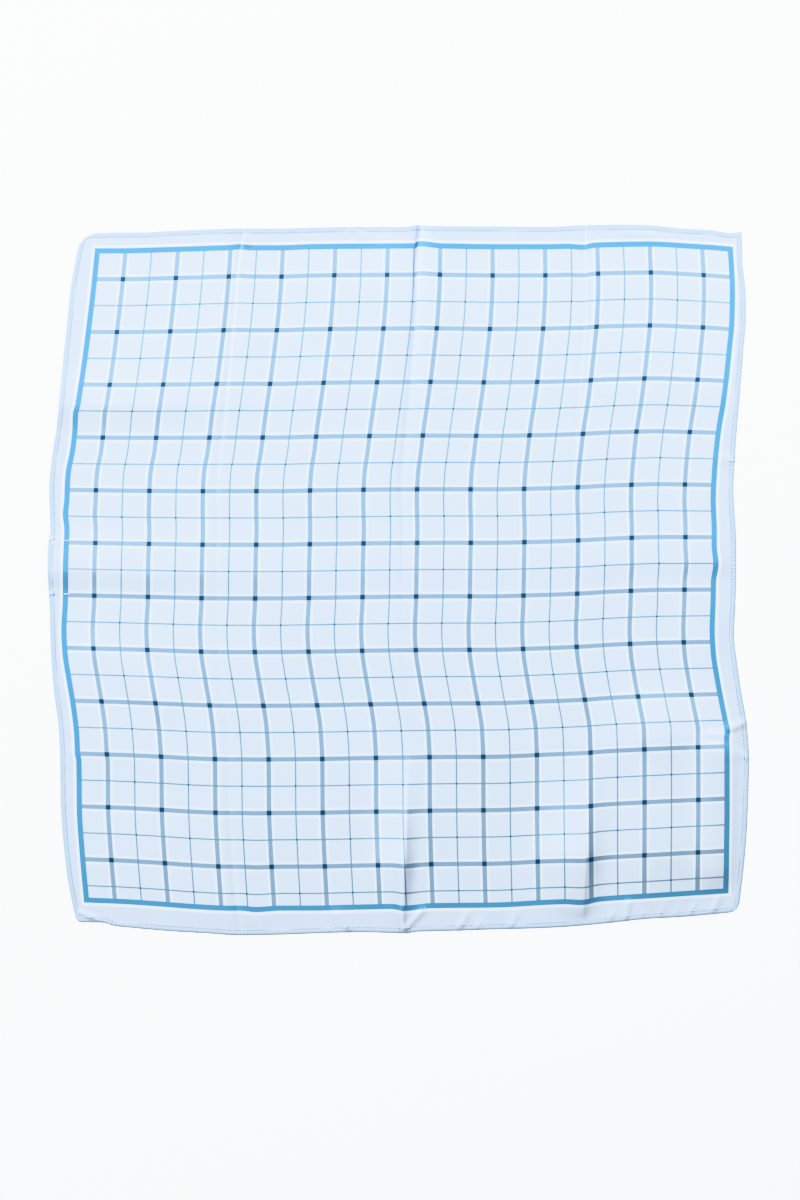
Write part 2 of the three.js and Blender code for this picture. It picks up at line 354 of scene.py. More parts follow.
def station_value(crease, column, share):
    """A crease's value from its table, at a share of the way from edge to edge."""
    return np.interp(share, CREASE_STATIONS, np.broadcast_to(crease[column], len(CREASE_STATIONS)))


def crease_place(crease, share):
    """Where a crease's line runs, at a share of the way from edge to edge."""
    return station_value(crease, "place", share)


def crease_height(crease, distance, share):
    """Height that one crease gives the cloth, at a distance from its line."""
    def beside(name):
        before = station_value(crease, name + "_before", share)
        return np.where(distance < 0, before, station_value(crease, name + "_after", share))

    rounded = np.sqrt(distance ** 2 + CREST_ROUNDING ** 2) - CREST_ROUNDING
    steep = (1 - np.minimum(rounded / beside("steep"), 1)) ** 2
    out = np.minimum(rounded / beside("gentle"), 1)
    gentle = (1 - out) ** 2 * (1 + 2 * out)
    crest = gentle + (steep - gentle) * beside("share")
    ridge = station_value(crease, "ridge", share) * crest
    return ridge + station_value(crease, "trough", share) * (gentle - steep)


def wrinkle_height(wrinkle, laid_across, laid_down):
    """Height of a short soft fold that fades out at its ends."""
    (x0, y0), (x1, y1) = wrinkle["start"], wrinkle["end"]
    run_x, run_y = x1 - x0, y1 - y0
    length = math.hypot(run_x, run_y)
    along = ((laid_across - x0) * run_x + (laid_down - y0) * run_y) / length
    beside = ((laid_down - y0) * run_x - (laid_across - x0) * run_y) / length
    past_end = np.maximum(np.maximum(-along, along - length), 0)
    distance = np.sqrt(beside ** 2 + past_end ** 2) / wrinkle["width"]
    return wrinkle["rise"] * np.maximum(1 - distance, 0) ** 2 * (1 + 2 * distance)


def lift(across, down):
    """Height of the cloth's underside above the floor."""
    across_share, down_share = across / CLOTH_WIDTH, down / CLOTH_DEPTH
    height = np.zeros_like(across)
    for crease in CREASES_TO_FRONT:
        distance = across - crease_place(crease, down_share)
        height += crease_height(crease, distance, down_share)
    for crease in CREASES_TO_RIGHT:
        distance = down - crease_place(crease, across_share)
        height += crease_height(crease, distance, across_share)
    laid_across, laid_down = lay(across, down)
    for swell in SWELLS:
        height += wrinkle_height(swell, laid_across, laid_down)
    from_edge = np.minimum(CLOTH_WIDTH - across, CLOTH_DEPTH - down)

    def settled(distance, share):
        near = np.clip(from_edge / distance, 0, 1)
        return share + (1 - share) * near ** 2 * (3 - 2 * near)

    height *= settled(EDGE_SETTLES, EDGE_SHARE)
    for wave in WAVES:
        along = across * math.cos(wave["turn"]) + down * math.sin(wave["turn"])
        swing = 1 + np.sin(2 * math.pi * along / wave["length"] + wave["phase"])
        height += wave["height"] * swing * settled(WAVE_SETTLES, EDGE_SHARE)
    for wrinkle in WRINKLES:
        height += wrinkle_height(wrinkle, laid_across, laid_down) * settled(WRINKLE_SETTLES, EDGE_SHARE)
    return height + FLOOR_CLEARANCE


def painted_crease_shade(across, down):
    """Shade painted along the creases, on their shaded slopes, from 0 to 1."""
    painted_shade = np.zeros_like(across)
    ways = [(CREASES_TO_FRONT, across, down / CLOTH_DEPTH), (CREASES_TO_RIGHT, down, across / CLOTH_WIDTH)]
    for creases, place, share in ways:
        for crease in creases:
            distance = place - crease_place(crease, share) - station_value(crease, "painted_shade_at", share)
            painted_shade += station_value(crease, "painted_shade", share) * np.exp(-(distance / PAINTED_SHADE_WIDTH) ** 2)
    return painted_shade


def grid_lines(length, creases, fine_stretches):
    """Lines of points from edge to edge, closer together near the edges, creases and fine stretches."""
    middles = np.array([crease_place(crease, 0.5) for crease in creases])
    lines = [HIDDEN_EDGE]
    while lines[-1] < length - HIDDEN_EDGE:
        place = lines[-1]
        gap = min(WIDEST_GAP, FINEST_GAP + GAP_GROWTH * np.abs(middles - place).min())
        if min(place, length - place) < BORDER or any(a < place < b for a, b in fine_stretches):
            gap = min(gap, WIDEST_GAP / 2)
        lines.append(place + gap)
    lines = np.array(lines)
    lines = HIDDEN_EDGE + (lines - HIDDEN_EDGE) * (length - 2 * HIDDEN_EDGE) / (lines[-1] - HIDDEN_EDGE)
    for middle in middles:
        lines[np.abs(lines - middle).argmin()] = middle
    return lines


def follow_creases(lines, creases, share):
    """The same lines, moved so that the ones at creases stay on them as they wander."""
    middles = np.array([crease_place(crease, 0.5) for crease in creases])
    moves = np.array([crease_place(crease, share) - crease_place(crease, 0.5) for crease in creases])
    knots = np.concatenate([[lines[0]], middles, [lines[-1]]])
    return lines + np.interp(lines, knots, np.concatenate([[0], moves, [0]]))


def kink_push(edge, place, inward):
    """How far the creases push the printed frame outwards, at a place along an edge."""
    push = np.zeros_like(place)
    for kink in KINKS:
        if kink["edge"] != edge:
            continue
        distance = place - kink["place"]
        reach = np.where(distance < 0, kink["before"], kink["after"])
        t = np.clip(1 - np.abs(distance) / reach, 0, 1)
        push += kink["push"] * t * t * (3 - 2 * t)
    return push * np.exp(-np.maximum(inward, 0) / KINK_REACH)


def print_place(laid_across, laid_down):
    """Place in the print, in metres from the outer corner of its frame. Outside the frame it is below 0
    or past the print's width or depth, by the real distance."""
    left = frame_left(laid_down)
    right = LAID_WIDTH - frame_right(laid_down)
    back = frame_back(laid_across)
    front = LAID_DEPTH - frame_front(laid_across)
    left = left - kink_push("left", laid_down, laid_across - left)
    right = right + kink_push("right", laid_down, right - laid_across)
    back = back - kink_push("back", laid_across, laid_down - back)
    front = front + kink_push("front", laid_across, front - laid_down)

    def scaled(place, start, end, size):
        inside = (place - start) / (end - start) * size
        return np.where(place < start, place - start, np.where(place > end, size + place - end, inside))

    u = scaled(laid_across, left, right, PRINT_WIDTH)
    v = scaled(laid_down, back, front, PRINT_DEPTH)
    return u * MM, v * MM


def to_world(laid_across, laid_down, height):
    """Points of the rectangle in metres in the part's frame."""
    x = cad_low.x + laid_across * MM
    y = cad_high.y - laid_down * MM
    return np.stack([x, y, height * MM], axis=-1)


def new_piece(name, points, faces, material_names):
    """A smooth mesh object from an array of points and a list of faces."""
    mesh = bpy.data.meshes.new(name)
    mesh.from_pydata(points.reshape(-1, 3).tolist(), [], faces)
    mesh.shade_smooth()
    for material_name in material_names:
        mesh.materials.append(bpy.data.materials[material_name])
    piece = bpy.data.objects.new(name, mesh)
    bpy.context.scene.collection.objects.link(piece)
    return piece


def linear(red, green, blue):
    """Linear colour of a display colour given from 0 to 255."""
    def channel(value):
        value /= 255
        return value / 12.92 if value <= 0.04045 else ((value + 0.055) / 1.055) ** 2.4
    return (channel(red), channel(green), channel(blue), 1.0)


class Finish:
    """A material being made, with short calls for the sums that a printed pattern needs."""

    def __init__(self, name):
        material = bpy.data.materials.new(name)
        material.use_nodes = True
        self.tree = material.node_tree
        self.shader = self.tree.nodes["Principled BSDF"]

    def add(self, kind, **settings):
        node = self.tree.nodes.new(kind)
        for key, value in settings.items():
            setattr(node, key, value)
        return node

    def put(self, socket, value):
        if isinstance(value, bpy.types.NodeSocket):
            self.tree.links.new(value, socket)
        else:
            socket.default_value = value

    def sum(self, operation, *values):
        node = self.add("ShaderNodeMath", operation=operation)
        for socket, value in zip(node.inputs, values):
            self.put(socket, value)
        return node.outputs[0]

    def fade(self, value, low, high):
        """1 below low, falling smoothly to 0 above high."""
        node = self.add("ShaderNodeMapRange", interpolation_type="SMOOTHSTEP")
        for socket, number in zip(node.inputs, (value, low, high, 1.0, 0.0)):
            self.put(socket, number)
        return node.outputs[0]

    def mix(self, share, first, second):
        node = self.add("ShaderNodeMix", data_type="RGBA")
        for socket, value in zip((node.inputs[0], node.inputs[6], node.inputs[7]), (share, first, second)):
            self.put(socket, value)
        return node.outputs[2]

    def noise(self, vector, scale, detail=2.0):
        node = self.add("ShaderNodeTexNoise")
        node.inputs["Detail"].default_value = detail
        stretch = self.add("ShaderNodeMapping")
        stretch.inputs["Scale"].default_value = scale
        self.put(stretch.inputs["Vector"], vector)
        self.put(node.inputs["Vector"], stretch.outputs[0])
        node.inputs["Scale"].default_value = 1.0
        return node.outputs[0]

    def raise_bumps(self, height, strength, distance):
        bump = self.add("ShaderNodeBump")
        bump.inputs["Strength"].default_value = strength
        bump.inputs["Distance"].default_value = distance
        self.put(bump.inputs["Height"], height)
        self.put(self.shader.inputs["Normal"], bump.outputs[0])


# Print on the satin, in metres: a plain windowpane check of broad lines with fine lines between them,
# in a frame of one mid-blue and one white line
CHECK_PITCH = 0.051
FIRST_BROAD_LINE = 0.030
BROAD_LINE = 0.0044
FINE_LINE = 0.0015
WHITE_MARGIN = 0.0024
PRINT_SOFTNESS = 0.0003
FRAME_LINE = 0.0051
FRAME_WHITE = 0.0029
WHITE_STRENGTH = 0.85
MOTTLING_STRENGTH = 0.4
# How strongly the shade painted along the creases darkens the satin
CREASE_SHADE_STRENGTH = 0.6
REVERSE_STRENGTH = 0.45
INK_LEAST = 0.72
INK_SPREAD = 0.30


def give_satin_sheen(finish, uv):
    """Satin's long floats and its soft gloss."""
    finish.raise_bumps(finish.noise(uv, (900.0, 3600.0, 1.0)), 0.10, 0.0002)
    finish.shader.inputs["Metallic"].default_value = 0.62
    finish.shader.inputs["Roughness"].default_value = 0.47
    finish.shader.inputs["Specular IOR Level"].default_value = 0.5
    finish.shader.inputs["Sheen Weight"].default_value = 0.15
    finish.shader.inputs["Sheen Roughness"].default_value = 0.4


def printed_satin(name, strength):
    """Satin with the bandana's print. strength is 1 on the printed side and less where it shows through."""
    finish = Finish(name)
    uv = finish.add("ShaderNodeUVMap", uv_map="print").outputs[0]
    parts = finish.add("ShaderNodeSeparateXYZ")
    finish.put(parts.inputs[0], uv)
    u, v = parts.outputs[0], parts.outputs[1]

    def band(distance, width):
        return finish.fade(distance, width / 2 - PRINT_SOFTNESS, width / 2 + PRINT_SOFTNESS)

    def lines(place):
        """Masks of the broad line, the fine line and the white beside the broad one, one way."""
        half = CHECK_PITCH / 2
        from_broad = finish.sum("WRAP", finish.sum("SUBTRACT", place, FIRST_BROAD_LINE), half, -half)
        from_broad = finish.sum("ABSOLUTE", from_broad)
        from_fine = finish.sum("SUBTRACT", half, from_broad)
        white = band(from_broad, BROAD_LINE + 2 * WHITE_MARGIN)
        return band(from_broad, BROAD_LINE), band(from_fine, FINE_LINE), white

    broad_u, fine_u, white_u = lines(u)
    broad_v, fine_v, white_v = lines(v)
    from_edge_u = finish.sum("MINIMUM", u, finish.sum("SUBTRACT", PRINT_WIDTH * MM, u))
    from_edge_v = finish.sum("MINIMUM", v, finish.sum("SUBTRACT", PRINT_DEPTH * MM, v))
    inside = finish.sum("MINIMUM", from_edge_u, from_edge_v)

    # Slow changes of tone, as printed cloth has, and the thin, slightly broken ink of the lines
    slow = finish.noise(uv, (9.0, 9.0, 1.0))
    ink = finish.sum("MULTIPLY_ADD", finish.noise(uv, (900.0, 900.0, 1.0), 3.0), INK_SPREAD, INK_LEAST)

    ground = finish.mix(slow, linear(208, 219, 232), linear(213, 223, 235))
    edging = finish.mix(slow, linear(205, 217, 232), linear(210, 221, 235))
    mottling = finish.fade(finish.noise(uv, (34.0, 22.0, 1.0), 3.0), 0.40, 0.62)
    edging = finish.mix(finish.sum("MULTIPLY", mottling, MOTTLING_STRENGTH), edging, linear(205, 214, 231))
    white = linear(226, 233, 240)
    broad_line = linear(101, 135, 162)
    fine_line = linear(88, 128, 152)
    crossing = linear(30, 66, 90)
    frame_blue = finish.mix(slow, linear(75, 135, 172), linear(83, 142, 178))
    # Colour of the shade painted along the creases
    crease_shade_blue = linear(66, 108, 168)

    def either(mask_u, mask_v, strength_of):
        """Mask of the lines both ways, at a strength."""
        return finish.sum("MULTIPLY", finish.sum("MAXIMUM", mask_u, mask_v), strength_of)

    # The check, from the white margins up to the dark places where lines cross
    colour = finish.mix(either(white_u, white_v, WHITE_STRENGTH), ground, white)
    colour = finish.mix(either(fine_u, fine_v, ink), colour, fine_line)
    colour = finish.mix(either(broad_u, broad_v, ink), colour, broad_line)
    broad_crossed = finish.sum("MULTIPLY", broad_u, broad_v)
    fine_crossed = finish.sum("MULTIPLY", fine_u, fine_v)
    colour = finish.mix(finish.sum("MAXIMUM", broad_crossed, fine_crossed), colour, crossing)

    # The frame over it, then the white line and the pale band outside the frame
    in_frame = finish.fade(inside, FRAME_LINE - PRINT_SOFTNESS, FRAME_LINE + PRINT_SOFTNESS)
    colour = finish.mix(in_frame, colour, frame_blue)
    outside = finish.fade(inside, -PRINT_SOFTNESS, PRINT_SOFTNESS)
    colour = finish.mix(outside, colour, white)
    past_white = finish.fade(inside, -FRAME_WHITE - PRINT_SOFTNESS, -FRAME_WHITE + PRINT_SOFTNESS)
    colour = finish.mix(past_white, colour, edging)

    # Shade painted along the creases, darker and bluer on their shaded slopes
    crease_shade_mask = finish.add("ShaderNodeAttribute", attribute_name="crease_shade_mask").outputs["Fac"]
    colour = finish.mix(crease_shade_mask, colour, finish.mix(CREASE_SHADE_STRENGTH, colour, crease_shade_blue))
    if strength < 1:
        colour = finish.mix(strength, ground, colour)
    finish.put(finish.shader.inputs["Base Color"], colour)
    give_satin_sheen(finish, uv)


printed_satin("satin_printed_side", 1.0)
printed_satin("satin_reverse_side", REVERSE_STRENGTH)

across_lines = grid_lines(CLOTH_WIDTH, CREASES_TO_FRONT, FINE_ACROSS)
down_lines = grid_lines(CLOTH_DEPTH, CREASES_TO_RIGHT, [])
cut_across = np.stack([follow_creases(across_lines, CREASES_TO_FRONT, d / CLOTH_DEPTH) for d in down_lines])
cut_down = np.stack([follow_creases(down_lines, CREASES_TO_RIGHT, a / CLOTH_WIDTH) for a in across_lines]).T
laid = lay(cut_across, cut_down)
underside = lift(cut_across, cut_down)
layers = np.stack([to_world(*laid, underside), to_world(*laid, underside + SATIN_THICKNESS)])

# Faces of the upper side, of the reverse and of the thin wall that closes them round the edge
row_count, column_count = cut_across.shape
layer_size = row_count * column_count
index = np.arange(layer_size).reshape(row_count, column_count)
cells = np.stack([index[:-1, :-1], index[1:, :-1], index[1:, 1:], index[:-1, 1:]], axis=-1).reshape(-1, 4)
edge = np.concatenate([index[:-1, 0], index[-1, :-1], index[:0:-1, -1], index[0, :0:-1]])
edge_next = np.roll(edge, -1)
wall = np.stack([edge, edge_next, edge_next + layer_size, edge + layer_size], axis=-1)
faces = np.concatenate([cells + layer_size, cells[:, ::-1], wall])

cloth = new_piece("satin_cloth", layers, faces.tolist(), ["satin_printed_side", "satin_reverse_side"])
on_reverse = np.zeros(len(faces), np.int32)
on_reverse[len(cells):2 * len(cells)] = 1
cloth.data.polygons.foreach_set("material_index", on_reverse)
print_uv = np.stack(print_place(*laid), axis=-1).reshape(-1, 2)
corner_points = np.zeros(len(cloth.data.loops), np.int32)
cloth.data.loops.foreach_get("vertex_index", corner_points)
uv_layer = cloth.data.uv_layers.new(name="print")
uv_layer.data.foreach_set("uv", print_uv[corner_points % layer_size].astype(np.float32).ravel())
# The shade painted along the creases, kept on the sheet's points for the satin's colour
crease_shade_mask = cloth.data.attributes.new("crease_shade_mask", "FLOAT", "POINT")
crease_shade_mask.data.foreach_set("value", np.tile(painted_crease_shade(cut_across, cut_down).ravel(), 2).astype(np.float32))
cloth.data.update()
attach(cloth, "root")
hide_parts("bandana")


# The hem: the raw edge of the same satin, turned over twice to a narrow flat roll and stitched down.
# The stitches draw it in, so it is a little lumpy, most of all along the front and right edges.
HEM_STATION = 1.0

# Its section: inset is how far inside the cloth's edge, and height how far above the cloth's underside
HEM_SECTION = [
    {"inset": 5.4, "height": 0.26},
    {"inset": 4.7, "height": 0.33},
    {"inset": 4.0, "height": 0.39},
    {"inset": 3.0, "height": 0.46},
    {"inset": 1.9, "height": 0.50},
    {"inset": 1.0, "height": 0.45},
    {"inset": 0.4, "height": 0.33},
    {"inset": 0.0, "height": 0.16},
    {"inset": 0.3, "height": 0.05},
    {"inset": 1.2, "height": 0.0},
    {"inset": 4.4, "height": 0.0},
    {"inset": 5.4, "height": 0.12},
]
HEM_UPPER_HALF = 0.16
HEM_TOP = 0.50
HEM_STITCH_PITCH = 2.0
NEEDLE_ROW = 4.6
SWAY_FADES = 3.0
HEM_LUMP_PITCH = 3.4
HEM_LUMPS = [
    {"side": "left", "rise": 0.10, "sway": 0.10},
    {"side": "front", "rise": 0.20, "sway": 0.22},
    {"side": "right", "rise": 0.16, "sway": 0.18},
    {"side": "back", "rise": 0.10, "sway": 0.12},
]


def hem_ring(inset):
    """Points of the cut cloth right round it, a distance inside its edge: down, right, up and back."""
    down_share = np.arange(round(CLOTH_DEPTH / HEM_STATION)) * HEM_STATION / CLOTH_DEPTH
    right_share = np.arange(round(CLOTH_WIDTH / HEM_STATION)) * HEM_STATION / CLOTH_WIDTH
    down = inset + down_share * (CLOTH_DEPTH - 2 * inset)
    right = inset + right_share * (CLOTH_WIDTH - 2 * inset)
    far_side = np.full_like(down, CLOTH_WIDTH - inset)
    far_end = np.full_like(right, CLOTH_DEPTH - inset)
    ring_across = [np.full_like(down, inset), right, far_side, CLOTH_WIDTH - right]
    ring_down = [down, far_end, CLOTH_DEPTH - down, np.full_like(right, inset)]
    return np.concatenate(ring_across), np.concatenate(ring_down)


def hem_lumps():
    """Rise and sway of the hem at each of its stations."""
    counts = [round(CLOTH_DEPTH / HEM_STATION), round(CLOTH_WIDTH / HEM_STATION)] * 2
    rise = np.concatenate([np.full(count, side["rise"]) for side, count in zip(HEM_LUMPS, counts)])
    sway = np.concatenate([np.full(count, side["sway"]) for side, count in zip(HEM_LUMPS, counts)])
    place = np.arange(len(rise)) * HEM_STATION
    wander = 2.2 * np.sin(place / 17.0) + 1.4 * np.sin(place / 7.3 + 1.0)
    strength = 0.6 + 0.4 * np.sin(place / 23.0) * np.sin(place / 9.1 + 2.0)
    lump = np.sin(2 * math.pi * place / HEM_LUMP_PITCH + wander) * strength
    return rise * lump, sway * lump


hem_finish = Finish("satin_hem")
hem_uv = hem_finish.add("ShaderNodeUVMap", uv_map="print").outputs[0]
hem_tone = hem_finish.noise(hem_uv, (60.0, 60.0, 1.0))
hem_inset_uv = hem_finish.add("ShaderNodeUVMap", uv_map="hem").outputs[0]
hem_parts = hem_finish.add("ShaderNodeSeparateXYZ")
hem_finish.put(hem_parts.inputs[0], hem_inset_uv)
along_hem, from_cloth_edge = hem_parts.outputs[0], hem_parts.outputs[1]
hem_colour = hem_finish.mix(hem_tone, linear(202, 216, 231), linear(208, 221, 235))

# Painted shade on the hem: a little darker where the satin rolls over, and darker again at the very edge
rolled_edge_shade = hem_finish.sum("MULTIPLY", hem_finish.fade(from_cloth_edge, 0.0022, 0.0042), 0.25)
hem_colour = hem_finish.mix(rolled_edge_shade, hem_colour, linear(146, 168, 192))
outer_edge_shade = hem_finish.sum("MULTIPLY", hem_finish.fade(from_cloth_edge, 0.0006, 0.0024), 0.75)
hem_colour = hem_finish.mix(outer_edge_shade, hem_colour, linear(134, 150, 162))

# The needle's holes show as dark dots, only along stretches where the thread has pulled them open
from_hole = hem_finish.sum("WRAP", along_hem, HEM_STITCH_PITCH * MM, 0.0)
from_hole = hem_finish.sum("ABSOLUTE", hem_finish.sum("SUBTRACT", from_hole, HEM_STITCH_PITCH * MM / 2))
from_row = hem_finish.sum("ABSOLUTE", hem_finish.sum("SUBTRACT", from_cloth_edge, NEEDLE_ROW * MM))
near_hole = hem_finish.fade(from_hole, 0.0003, 0.0010)
near_row = hem_finish.fade(from_row, 0.0004, 0.0011)
hole = hem_finish.sum("MULTIPLY", near_hole, near_row)
pulled = hem_finish.fade(hem_finish.noise(hem_inset_uv, (26.0, 10.0, 1.0), 3.0), 0.47, 0.68)
hem_colour = hem_finish.mix(hem_finish.sum("MULTIPLY", hole, pulled), hem_colour, linear(92, 118, 148))
hem_finish.put(hem_finish.shader.inputs["Base Color"], hem_colour)
give_satin_sheen(hem_finish, hem_uv)

hem_rise, hem_sway = hem_lumps()
hem_points, hem_print, hem_inset = [], [], []
for spot in HEM_SECTION:
    ring = hem_ring(spot["inset"])
    laid = np.array(lay(*ring))
    towards = np.array(lay(*hem_ring(spot["inset"] + 1.0))) - laid
    near_edge = max(0.0, 1 - spot["inset"] / SWAY_FADES)
    laid += towards * hem_sway * near_edge
    top_share = max(0.0, spot["height"] - HEM_UPPER_HALF) / (HEM_TOP - HEM_UPPER_HALF)
    height = lift(*ring) + spot["height"] + hem_rise * top_share
    hem_points.append(to_world(*laid, height))
    hem_print.append(np.stack(print_place(*laid), axis=-1))
    place_along = np.arange(len(hem_rise)) * HEM_STATION * MM
    hem_inset.append(np.stack([place_along, np.full(len(hem_rise), spot["inset"] * MM)], axis=-1))

# Faces between neighbouring stations and neighbouring spots of the section, closed both ways round
station_count = len(hem_rise)
section_count = len(HEM_SECTION)
spot_index = np.arange(station_count * section_count).reshape(section_count, station_count)
next_station = np.roll(spot_index, -1, axis=1)
next_spot = np.roll(spot_index, -1, axis=0)
next_both = np.roll(next_station, -1, axis=0)
hem_faces = np.stack([spot_index, next_spot, next_both, next_station], axis=-1).reshape(-1, 4)
hem = new_piece("hem_roll", np.stack(hem_points), hem_faces.tolist(), ["satin_hem"])
hem_corners = np.zeros(len(hem.data.loops), np.int32)
hem.data.loops.foreach_get("vertex_index", hem_corners)
for map_name, places in {"print": hem_print, "hem": hem_inset}.items():
    hem_layer = hem.data.uv_layers.new(name=map_name)
    hem_places = np.stack(places).reshape(-1, 2)[hem_corners]
    hem_layer.data.foreach_set("uv", hem_places.astype(np.float32).ravel())
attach(hem, "root")


# The stitches: pale sewing thread. One row of slanting stitches runs across the hem all the way round,
# and two short tacks of whiter thread cross the mid-blue line at the left.
HEM_STITCH_LENGTH = 3.8
HEM_STITCH_INSET = 2.2
HEM_STITCH_SINK = 0.02
HEM_THREAD_RADIUS = 0.24
TACKS = [{"across": 18.0, "down": 304.0}, {"across": 18.0, "down": 355.5}]
TACK_ROW = 4.6
TACK_PITCH = 1.5
TACK_LENGTH = 1.2
TACK_THREAD_RADIUS = 0.28


def stitch_row_tree():
    """Geometry Nodes that lay thread stitches in a row along a path, one to each pitch."""
    tree = bpy.data.node_groups.new("stitch_row", "GeometryNodeTree")
    tree.is_modifier = True
    inputs_wanted = {
        "Path": "Geometry",
        "Pitch": "Float",
        "Stitch Length": "Float",
        "Thread Radius": "Float",
        "Bow": "Float",
        "Lean": "Float",
        "Unevenness": "Float",
        "Seed": "Int",
        "Thread": "Material",
    }
    for name, kind in inputs_wanted.items():
        tree.interface.new_socket(name, in_out="INPUT", socket_type="NodeSocket" + kind)
    tree.interface.new_socket("Stitches", in_out="OUTPUT", socket_type="NodeSocketGeometry")
    given = tree.nodes.new("NodeGroupInput").outputs

    def node(kind, inputs, **settings):
        made = tree.nodes.new(kind)
        for key, value in settings.items():
            setattr(made, key, value)
        for key, value in inputs.items():
            socket = made.inputs[key]
            if isinstance(value, bpy.types.NodeSocket):
                tree.links.new(value, socket)
            else:
                socket.default_value = value
        return made.outputs[0]

    def times(value, factor):
        return node("ShaderNodeMath", {0: value, 1: factor}, operation="MULTIPLY")

    # One stitch: a short bowed length of round thread
    half_length = times(given["Stitch Length"], 0.5)
    bow = given["Bow"]
    start = node("ShaderNodeCombineXYZ", {"Y": times(half_length, -1.0), "Z": times(bow, -1.0)})
    middle = node("ShaderNodeCombineXYZ", {"Z": bow})
    end = node("ShaderNodeCombineXYZ", {"Y": half_length, "Z": times(bow, -1.0)})
    thread_line = node("GeometryNodeCurveQuadraticBezier",
                       {"Resolution": 4, "Start": start, "Middle": middle, "End": end})
    thread_round = node("GeometryNodeCurvePrimitiveCircle",
                        {"Resolution": 5, "Radius": given["Thread Radius"]})
    stitch = node("GeometryNodeCurveToMesh",
                  {"Curve": thread_line, "Profile Curve": thread_round, "Fill Caps": True})

    # Its places along the path, each leaning a little differently
    path = node("GeometryNodeMeshToCurve", {"Mesh": given["Path"]})
    spots = node("GeometryNodeResampleCurve", {"Curve": path, "Length": given["Pitch"]}, mode="LENGTH")
    square_on = node("FunctionNodeAlignRotationToVector", {"Vector": node("GeometryNodeInputTangent", {})},
                     axis="X", pivot_axis="Z")
    uneven = tree.nodes.new("FunctionNodeRandomValue")
    low, high = [socket for socket in uneven.inputs if socket.enabled and socket.type == "VALUE"]
    tree.links.new(times(given["Unevenness"], -1.0), low)
    tree.links.new(given["Unevenness"], high)
    tree.links.new(given["Seed"], uneven.inputs["Seed"])
    uneven_angle = next(socket for socket in uneven.outputs if socket.enabled)
    lean = node("ShaderNodeMath", {0: given["Lean"], 1: uneven_angle}, operation="ADD")
    turn = node("FunctionNodeEulerToRotation", {"Euler": node("ShaderNodeCombineXYZ", {"Z": lean})})
    rotation = node("FunctionNodeRotateRotation", {"Rotation": square_on, "Rotate By": turn},
                    rotation_space="LOCAL")
    row = node("GeometryNodeInstanceOnPoints", {"Points": spots, "Instance": stitch, "Rotation": rotation})
    whole = node("GeometryNodeRealizeInstances", {"Geometry": row})
    smooth = node("GeometryNodeSetShadeSmooth", {0: whole})
    finished = node("GeometryNodeSetMaterial", {"Geometry": smooth, "Material": given["Thread"]})
    tree.links.new(finished, tree.nodes.new("NodeGroupOutput").inputs["Stitches"])
    return tree


def sew(name, paths, closed, inputs):
    """A plain mesh of stitches along paths of points, made by the stitch row's nodes."""
    points = [tuple(point) for path in paths for point in path]
    edges, first = [], 0
    for path in paths:
        last = first + len(path)
        edges += [(i, i + 1) for i in range(first, last - 1)]
        edges += [(last - 1, first)] if closed else []
        first = last
    guide_mesh = bpy.data.meshes.new(name + "_path")
    guide_mesh.from_pydata(points, edges, [])
    guide = bpy.data.objects.new(name + "_path", guide_mesh)
    bpy.context.scene.collection.objects.link(guide)
    modifier = guide.modifiers.new("stitch_row", "NODES")
    modifier.node_group = stitch_tree
    for socket in stitch_tree.interface.items_tree:
        if socket.name in inputs:
            modifier[socket.identifier] = inputs[socket.name]
    evaluated = guide.evaluated_get(bpy.context.evaluated_depsgraph_get())
    mesh = bpy.data.meshes.new_from_object(evaluated)
    mesh.name = name
    bpy.data.objects.remove(guide)
    piece = bpy.data.objects.new(name, mesh)
    bpy.context.scene.collection.objects.link(piece)
    return piece


def thread_finish(name, darker, paler):
    """Twisted sewing thread."""
    finish = Finish(name)
    place = finish.add("ShaderNodeTexCoord").outputs["Object"]
    tone = finish.noise(place, (400.0, 400.0, 400.0))
    finish.put(finish.shader.inputs["Base Color"], finish.mix(tone, darker, paler))
    finish.raise_bumps(finish.noise(place, (3000.0, 3000.0, 3000.0)), 0.3, 0.0001)
    finish.shader.inputs["Roughness"].default_value = 0.55


thread_finish("hem_thread", linear(138, 160, 182), linear(166, 186, 206))
thread_finish("tack_thread", linear(226, 230, 236), linear(238, 241, 245))
stitch_tree = stitch_row_tree()

hem_line = hem_ring(HEM_STITCH_INSET)
hem_path = to_world(*lay(*hem_line), lift(*hem_line) + HEM_TOP - HEM_STITCH_SINK + hem_rise)
hem_stitches = sew("hem_stitches", [hem_path], True, {
    "Pitch": HEM_STITCH_PITCH * MM,
    "Stitch Length": HEM_STITCH_LENGTH * MM,
    "Thread Radius": HEM_THREAD_RADIUS * MM,
    "Bow": 0.12 * MM,
    "Lean": math.radians(12),
    "Unevenness": math.radians(8),
    "Seed": 3,
    "Thread": bpy.data.materials["hem_thread"],
})

